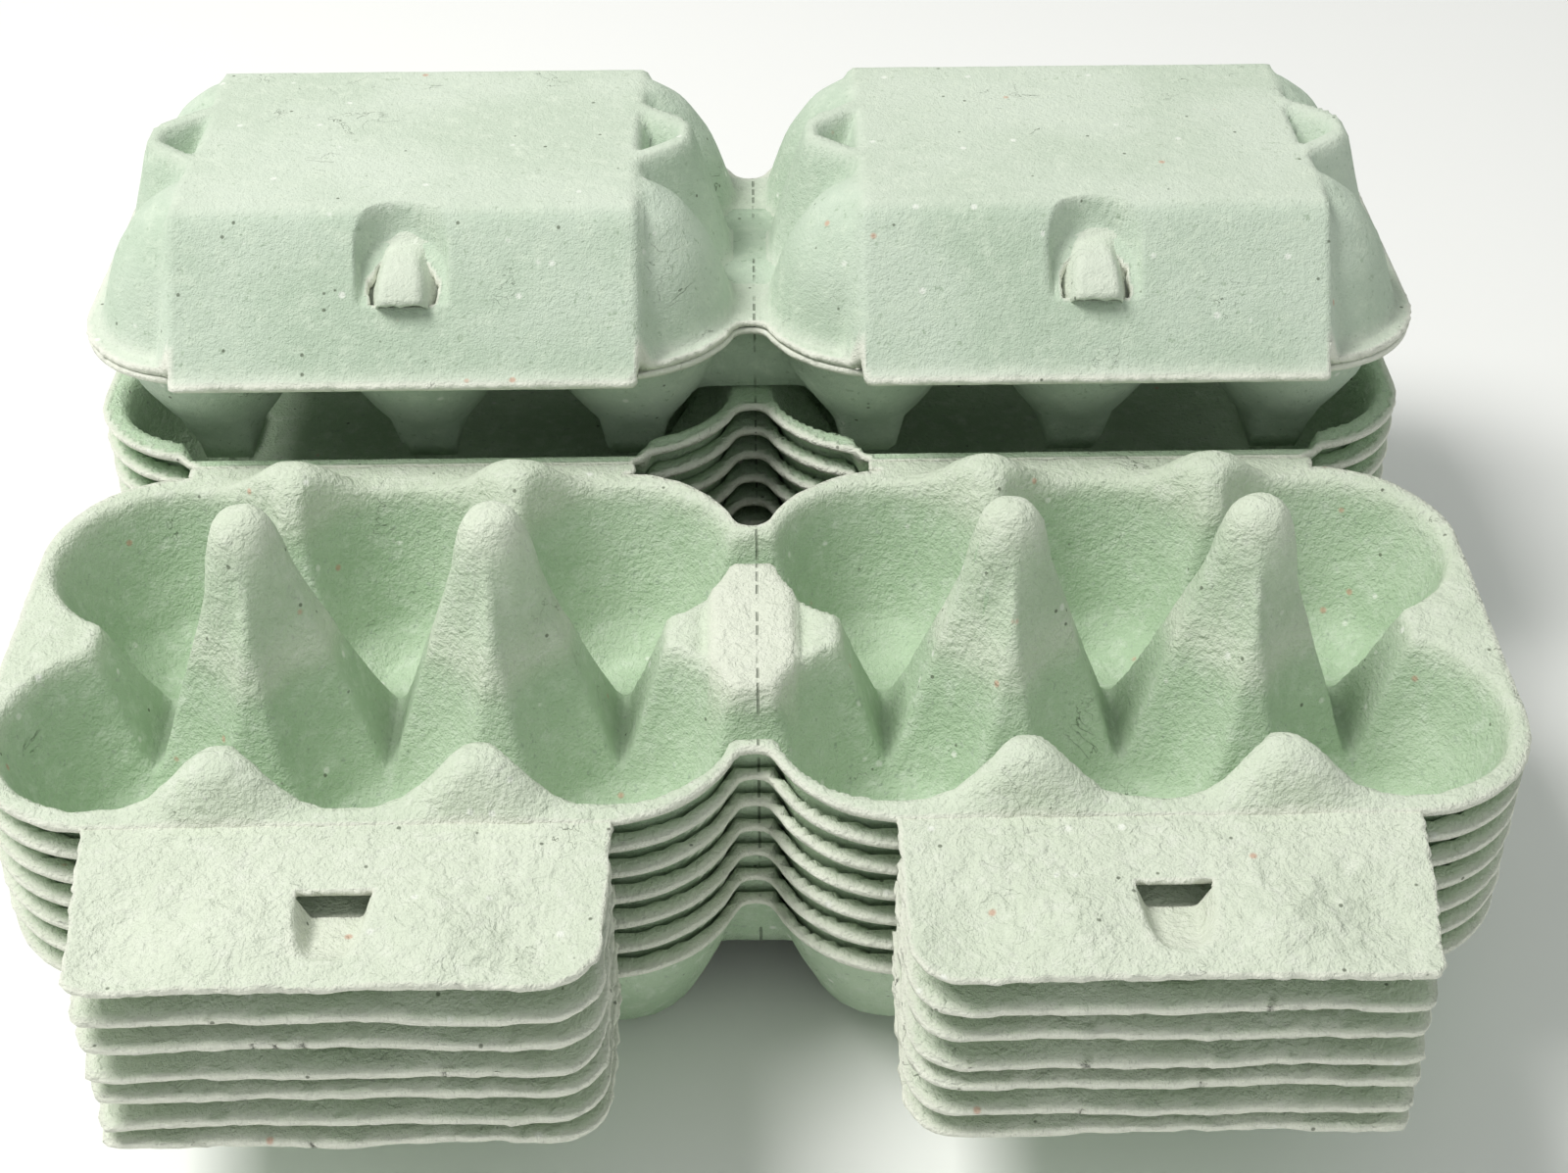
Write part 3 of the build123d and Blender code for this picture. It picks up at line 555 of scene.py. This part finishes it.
def pulp_material(name, relief, grain, deep, light):
    """Pale green pulp: cloudy colour, dark and coloured flecks, rough relief, torn pale edges.

    Relief is the height of the coarse folds, grain that of the fine ones; deep and light are
    the two greens its clouds go between.
    """
    material = bpy.data.materials.new(name)
    material.use_nodes = True
    tree = material.node_tree
    nodes, links = tree.nodes, tree.links
    nodes.clear()

    def add(kind, **inputs):
        node = nodes.new(kind)
        for key, value in inputs.items():
            node.inputs[key.replace("_", " ")].default_value = value
        return node

    def math_node(operation, a, b=None, clamp=False):
        node = nodes.new("ShaderNodeMath")
        node.operation, node.use_clamp = operation, clamp
        for slot_index, value in enumerate((a, b)):
            if value is None:
                continue
            if isinstance(value, (int, float)):
                node.inputs[slot_index].default_value = value
            else:
                links.new(value, node.inputs[slot_index])
        return node.outputs[0]

    def mix(factor, a, b, mode="MIX"):
        node = nodes.new("ShaderNodeMix")
        node.data_type, node.blend_type = "RGBA", mode
        for slot_index, value in ((0, factor), (6, a), (7, b)):
            if isinstance(value, (int, float, tuple)):
                node.inputs[slot_index].default_value = value
            else:
                links.new(value, node.inputs[slot_index])
        return node.outputs[2]

    place = nodes.new("ShaderNodeTexCoord").outputs["Object"]

    def clouds(scale, detail=3.0, roughness=0.55, distortion=0.0):
        node = add("ShaderNodeTexNoise", Scale=scale, Detail=detail, Roughness=roughness,
                   Distortion=distortion)
        links.new(place, node.inputs["Vector"])
        return node.outputs["Fac"]

    def cells(scale):
        node = add("ShaderNodeTexVoronoi", Scale=scale)
        links.new(place, node.inputs["Vector"])
        return node

    def step(value, low_end, high_end):
        node = nodes.new("ShaderNodeMapRange")
        node.interpolation_type = "SMOOTHSTEP"
        node.inputs["From Min"].default_value = low_end
        node.inputs["From Max"].default_value = high_end
        links.new(value, node.inputs["Value"])
        return node.outputs["Result"]

    wear_and_painted_light = nodes.new("ShaderNodeAttribute")
    wear_and_painted_light.attribute_name = "wear_and_painted_light"
    worn_and_lit = wear_and_painted_light.outputs["Fac"]

    patchy = step(clouds(28.0, 4.0), 0.35, 0.68)
    colour = mix(patchy, deep, light)
    colour = mix(step(clouds(260.0, 5.0, 0.7), 0.45, 0.8), colour, LIGHT_CLOUD)
    colour = mix(step(clouds(640.0, 2.0), 0.62, 0.74), colour, DARK_GRAIN)
    # Towards cream by the paleness attribute: torn edges as wear, and painted light that makes the
    # high, lit parts paler
    colour = mix(math_node("MULTIPLY", worn_and_lit, 0.8), colour, CREAM)

    vein = math_node("ABSOLUTE", math_node("SUBTRACT", clouds(70.0, 4.0, 0.6, 0.8), 0.5))
    crack = math_node("MULTIPLY", step(vein, 0.0028, 0.0008), step(clouds(45.0, 2.0), 0.63, 0.68))
    colour = mix(math_node("MULTIPLY", crack, 0.55), colour, CRACK_COLOUR)

    spot = nodes.new("ShaderNodeSeparateXYZ")
    links.new(place, spot.inputs[0])
    off_line = math_node("ABSOLUTE", math_node("SUBTRACT", spot.outputs[0], PERFORATION_X))
    beat = math_node("FRACT", math_node("MULTIPLY", spot.outputs[1], SLITS_PER_METRE))
    dash = math_node("GREATER_THAN", beat, SLIT_GAP)
    slit = math_node("MULTIPLY", step(off_line, 0.00030, 0.00012), dash)
    slit = math_node("MULTIPLY", slit, step(clouds(90.0, 2.0), 0.40, 0.55))
    colour = mix(math_node("MULTIPLY", slit, 0.6), colour, SLIT_COLOUR)

    speck = cells(420.0)
    pick = nodes.new("ShaderNodeSeparateColor")
    links.new(speck.outputs["Color"], pick.inputs["Color"])
    near = step(speck.outputs["Distance"], 0.22, 0.12)
    rare_dark = math_node("MULTIPLY", near, math_node("GREATER_THAN", pick.outputs[0], 0.965))
    colour = mix(math_node("MULTIPLY", rare_dark, 0.75), colour, DARK_SPECK)
    fleck = cells(260.0)
    pick_two = nodes.new("ShaderNodeSeparateColor")
    links.new(fleck.outputs["Color"], pick_two.inputs["Color"])
    near_two = step(fleck.outputs["Distance"], 0.26, 0.10)
    pink = math_node("GREATER_THAN", pick_two.outputs[1], 0.985)
    rare_pink = math_node("MULTIPLY", near_two, pink)
    colour = mix(math_node("MULTIPLY", rare_pink, 0.7), colour, PINK_FLECK)
    rare_white = math_node("MULTIPLY", near_two, math_node("LESS_THAN", pick_two.outputs[1], 0.05))
    colour = mix(math_node("MULTIPLY", rare_white, 0.7), colour, WHITE_FLECK)

    coarse = clouds(230.0, 3.0, 0.6, 0.6)
    fine = clouds(900.0, 3.0, 0.65)
    grit = clouds(2600.0, 2.0, 0.6)
    pale_part_folds = math_node("MULTIPLY", step(worn_and_lit, 0.0, 0.5), 0.7 * relief)
    folds = math_node("ADD", pale_part_folds, 0.3 * relief)
    height = math_node("MULTIPLY", coarse, folds)
    height = math_node("ADD", height, math_node("MULTIPLY", fine, grain))
    height = math_node("ADD", height, math_node("MULTIPLY", grit, 0.2))
    cut = math_node("MULTIPLY", math_node("MAXIMUM", crack, slit), 0.5)
    height = math_node("SUBTRACT", height, cut)
    bump = add("ShaderNodeBump", Strength=0.9, Distance=0.0013)
    links.new(height, bump.inputs["Height"])

    shader = add("ShaderNodeBsdfPrincipled", Roughness=0.94)
    shader.inputs["Specular IOR Level"].default_value = 0.18
    links.new(colour, shader.inputs["Base Color"])
    links.new(bump.outputs["Normal"], shader.inputs["Normal"])
    output = nodes.new("ShaderNodeOutputMaterial")
    links.new(shader.outputs["BSDF"], output.inputs["Surface"])
    return material


felt_side = pulp_material("felt_side_pulp", 1.0, 0.6, *FELT_GREENS)
screen_side = pulp_material("screen_side_pulp", 0.3, 0.35, *SCREEN_GREENS)


# Cartons

def tray_tone(p):
    """Rims and bumps are pale, posts a little less so, and cups keep the pulp's green: painted
    light and shade, paler with height where the light falls and greener down in the shaded cups.
    """
    z, inside = p[:, 2], np.abs(p[:, 1]) < 36
    rim = 0.5 * np.clip((z + 5) / 5, 0, 1)
    post = 0.25 * np.clip((z - 3) / 5, 0, 1) * inside
    pad = 0.3 * np.clip(1 - rounded(p[:, 0], p[:, 1], 0, 0, PAD_X, PAD_Y, PAD_CORNER), 0, 1)
    return 0.02 + rim - post + 0.3 * np.clip((z - 21) / 6, 0, 1) + pad


def lid_tone(p):
    """The lid is palest on its top panel and along its lip; the paler top panel is painted light
    from above, the front walls left darker as shaded.
    """
    z = p[:, 2]
    return 0.05 + 0.22 * np.clip((z - 29.5) / 1.5, 0, 1) + 0.4 * np.clip((4 - z) / 3, 0, 1)


def flap_tone(p):
    """The flap is pale all over, its nose a little more so."""
    middle = np.clip((8 - np.abs(p[:, 0])) / 2, 0, 1) * (np.abs(p[:, 1] + NOSE_Y + 7) < 7)
    return 0.62 + 0.1 * middle


def flap_patch(step_size, seed, side, start=0.0, wave=0.0, press=NOSE_DEPTH):
    """One flap lying level towards the front from its crease at y = 0, z = 0."""
    xs = axis_lines(-FLAP_X - 0.5, FLAP_X + 0.5, step_size, (-SLOT_X, SLOT_X))
    ys = axis_lines(-FLAP_LENGTH - 0.5, -start, step_size, (-NOSE_Y, -NOSE_Y + SLOT_LENGTH))

    def upper(x, y):
        w = -y
        a = np.abs(x)
        mound = 1.7 * np.exp(-((a - 18) / 8) ** 2 - ((w - 24) / 8) ** 2)
        hollow = 1.6 * np.exp(-((a - 36) / 8) ** 2 - ((w - 24) / 10) ** 2)
        crease = -0.4 * np.exp(-((w - 1.6) / 0.8) ** 2) - 0.3 * np.clip(-w, 0, 1)
        bend = wave * noise(x, w * 0.4, 24.0, seed) * np.clip(w / FLAP_LENGTH, 0, 1) ** 1.3
        zone = np.exp(-((a - 25) / 14) ** 4 - ((w - 21) / 13) ** 4)
        coarse = 0.55 * zone * rough(x, w, 2.4, seed + 2, 2)
        return crease + bend + coarse + mound - hollow - nose(x, w, press)

    def under(x, y):
        return upper(x, y) - WALL - 0.25 * (nose(x, -y, press) > 0.2)

    patch = sheet(xs, ys, flap_outline(start, seed), upper, under, seed, 0.28, 0.5, flap_tone)
    if side < 0:
        patch.points = patch.points * [-1, 1, 1]
        patch.faces = patch.faces[:, ::-1]
    return patch


FLAP_SAG = [0.0, 1.6, 0.7, 2.5, 1.4, 1.5, 0.0]   # extra droop at the tip, lowest carton first


def open_carton(k, fine, lid_step, with_flaps):
    """Patches of the open carton k (0 the lowest)."""
    seed = 10.0 * k + 3.0
    lift = TRAY_HEIGHT + k * NEST_PITCH
    front = -CREASE_Y if with_flaps else -FREE_FLAP_Y
    blunt = not with_flaps
    xs = axis_lines(-PLAN_X, PLAN_X, fine)
    main = sheet(xs, axis_lines(-PLAN_FRONT_Y, HINGE_Y, fine), tray_outline(front),
                 lambda x, y: tray(x, y, 0.0, blunt), lambda x, y: tray(x, y, WALL, blunt),
                 seed, 0.22 if with_flaps else 0.42, tone=tray_tone)
    xs = axis_lines(-PLAN_X, PLAN_X, lid_step)
    opened = sheet(xs, axis_lines(HINGE_Y - 0.6, OPEN_LID_REAR_Y, lid_step), open_lid_outline,
                   open_upper, open_under, seed + 1)
    patches = [main.moved(placed(z=lift)),
               opened.moved(placed(z=lift, turn=-LID_TILT, pivot=(HINGE_Y, 0)))]
    if with_flaps:
        for side in (-1, 1):
            droop = math.radians(FLAP_DROOP) + FLAP_SAG[k] / FLAP_LENGTH
            flap = flap_patch(NESTED_FLAP_STEP, seed + 2 * side + 5, side, wave=1.0)
            patches.append(flap.moved(placed(side * HALF_X, -CREASE_Y, lift, droop)))
    return patches


def folded_hinge(side):
    """The bent strip that joins the closed carton's tray and lid at the back of one half."""
    u = np.array([-HINGE_X, HINGE_X])
    arc = np.radians(np.linspace(-90, 90, 7))
    rise = (LID_GAP + WALL + WALL) / 2
    ys = HINGE_Y - 0.4 + rise * np.cos(arc) * 0.75
    zs = LID_GAP / 2 + rise * np.sin(arc)
    points = np.array([[side * HALF_X + a, b, c] for b, c in zip(ys, zs) for a in u])
    faces = np.array([[2 * i, 2 * i + 1, 2 * i + 3, 2 * i + 2] for i in range(6)])
    return Patch(points, faces, np.ones(len(points)))


def closed_carton():
    """Patches of the closed carton, standing in the uppermost lids."""
    seed = 91.0
    xs = axis_lines(-PLAN_X, PLAN_X, CLOSED_STEP)
    body = sheet(xs, axis_lines(-PLAN_FRONT_Y, HINGE_Y, CLOSED_STEP), tray_outline(-CREASE_Y),
                 lambda x, y: tray(x, y, 0.0, slim=True),
                 lambda x, y: tray(x, y, WALL, slim=True), seed)
    lock = HALF_X - RECESS_SPAN, HALF_X + RECESS_SPAN
    xs = graded_lines(-PLAN_X, PLAN_X, COVER_STEP_X, COVER_FINE_X, ((-lock[1], -lock[0]), lock))
    ys = graded_lines(-LID_FRONT_Y, LID_REAR_Y, COVER_STEP_Y, COVER_FINE_Y, (RECESS_Y,))
    cover = sheet(xs, ys, lid_outline,
                  lambda x, y: high(lid(x, y, 0), np.full(x.shape, WALL), 1.0),
                  lambda x, y: high(lid(x, y, WALL), np.zeros(x.shape), 1.0), seed + 1, 0.12, 0.5,
                  lid_tone)
    patches = [body, cover.moved(placed(z=LID_GAP))]
    for side in (-1, 1):
        flap = flap_patch(CLOSED_FLAP_STEP, seed + side + 3, side, press=1.3 * NOSE_DEPTH)
        flap.wear_and_painted_light[:] = 0.5           # the folded flap shows its underside, as pale as the rest
        lean = math.radians(90 + FLAP_LEAN)
        patches.append(flap.moved(placed(side * HALF_X, -CREASE_Y, 0, -lean)))
        patches.append(folded_hinge(side))
    stand = placed(0.0, LID_Y, TOP_RIM + CLOSED_RISE)
    sag = placed(turn=-LID_TILT, pivot=(HINGE_Y, TOP_RIM))
    return [p.moved(sag @ stand) for p in patches]


for k in range(OPEN_CARTONS):
    top = k == OPEN_CARTONS - 1
    steps = (TOP_STEP, TOP_LID_STEP) if top else (NESTED_STEP, NESTED_STEP)
    parts = open_carton(k, *steps, not top)
    make(f"nested_carton_{k + 1}", parts, "stack", [f"open_carton_{k + 1}"], felt_side)

make("standing_carton", closed_carton(), "stack", ["closed_carton"], screen_side)

for side, word in ((-1, "left"), (1, "right")):
    flap = flap_patch(FREE_FLAP_STEP, 70.0 + side, side, start=-FREE_FLAP_ROOT, wave=0.5)
    droop = math.radians(FLAP_DROOP)
    flap = flap.moved(placed(side * HALF_X, -CREASE_Y, TOP_RIM, droop))
    o = make(f"turning_flap_{word}", [flap], None, [f"front_flap_{word}"], felt_side)
    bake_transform(o)


# Stage: a pale floor and backdrop, lights and the photograph's view

FLOOR_Z, FLOOR_FRONT, FLOOR_REAR = -0.0005, -3.0, 1.5   # metres
WALL_RUN, WALL_RISE, FLOOR_HALF, STRIPS = 1.5, 3.2, 5, 25


def staged():
    """A floor that curves up into a backdrop behind the stack."""
    material = bpy.data.materials.new("stage")
    material.use_nodes = True
    shader = material.node_tree.nodes["Principled BSDF"]
    shader.inputs["Base Color"].default_value = (0.93, 0.93, 0.92, 1)
    shader.inputs["Roughness"].default_value = 0.9
    points, faces = [], []
    for i in range(STRIPS + 1):
        t = i / STRIPS
        if t < 0.5:
            y, z = FLOOR_FRONT + t * 2 * (FLOOR_REAR - FLOOR_FRONT), FLOOR_Z
        else:
            a = (t - 0.5) * math.pi
            y, z = FLOOR_REAR + WALL_RUN * math.sin(a), FLOOR_Z + WALL_RISE * (1 - math.cos(a))
        points += [(-FLOOR_HALF, y, z), (FLOOR_HALF, y, z)]
    for i in range(STRIPS):
        faces.append((2 * i, 2 * i + 1, 2 * i + 3, 2 * i + 2))
    mesh = bpy.data.meshes.new("backdrop")
    mesh.from_pydata(points, [], faces)
    for p in mesh.polygons:
        p.use_smooth = True
    mesh.materials.append(material)
    o = bpy.data.objects.new("backdrop", mesh)
    bpy.context.scene.collection.objects.link(o)


staged()


def area(name, at, to, size, power, colour):
    """A soft rectangular light, aimed at a point."""
    data = bpy.data.lights.new(name, "AREA")
    data.shape, data.size, data.energy, data.color = "SQUARE", size, power, colour
    o = bpy.data.objects.new(name, data)
    o.location = at
    o.rotation_euler = (Vector(to) - Vector(at)).to_track_quat("-Z", "Y").to_euler()
    bpy.context.scene.collection.objects.link(o)


area("window", (-0.75, -0.1, 1.35), (0, 0, 0.05), 0.6, 20.0, (1.0, 0.985, 0.96))
area("fill", (0.8, -1.0, 0.9), (0, 0, 0.05), 1.2, 1.5, (0.95, 1.0, 0.97))

world = bpy.data.worlds.new("room")
bpy.context.scene.world = world
world.use_nodes = True
world.node_tree.nodes["Background"].inputs["Color"].default_value = (0.96, 1.0, 0.97, 1)
world.node_tree.nodes["Background"].inputs["Strength"].default_value = 0.42

EYE = (1.8, -368.5, 299.7)           # from the uppermost open carton's middle, mm
DECLINE, YAW, ROLL = 38.08, -0.69, -0.23
FOCAL = 2429.5                       # pixels in a picture 1600 wide
camera_data = bpy.data.cameras.new("camera")
camera_data.sensor_width = 36.0
camera_data.lens = FOCAL / 1600 * 36.0
camera = bpy.data.objects.new("camera", camera_data)
yaw, down, roll = (math.radians(a) for a in (YAW, DECLINE, ROLL))
turn = (Matrix.Rotation(yaw, 4, "Z") @ Matrix.Rotation(math.pi / 2 - down, 4, "X")
        @ Matrix.Rotation(roll, 4, "Z"))
camera.matrix_world = Matrix.Translation(
    ((EYE[0]) * 0.001, (EYE[1] - CENTRE_Y) * 0.001, (EYE[2] + TOP_RIM) * 0.001)) @ turn
bpy.context.scene.collection.objects.link(camera)
bpy.context.scene.camera = camera
bpy.context.scene.view_settings.view_transform = "Standard"
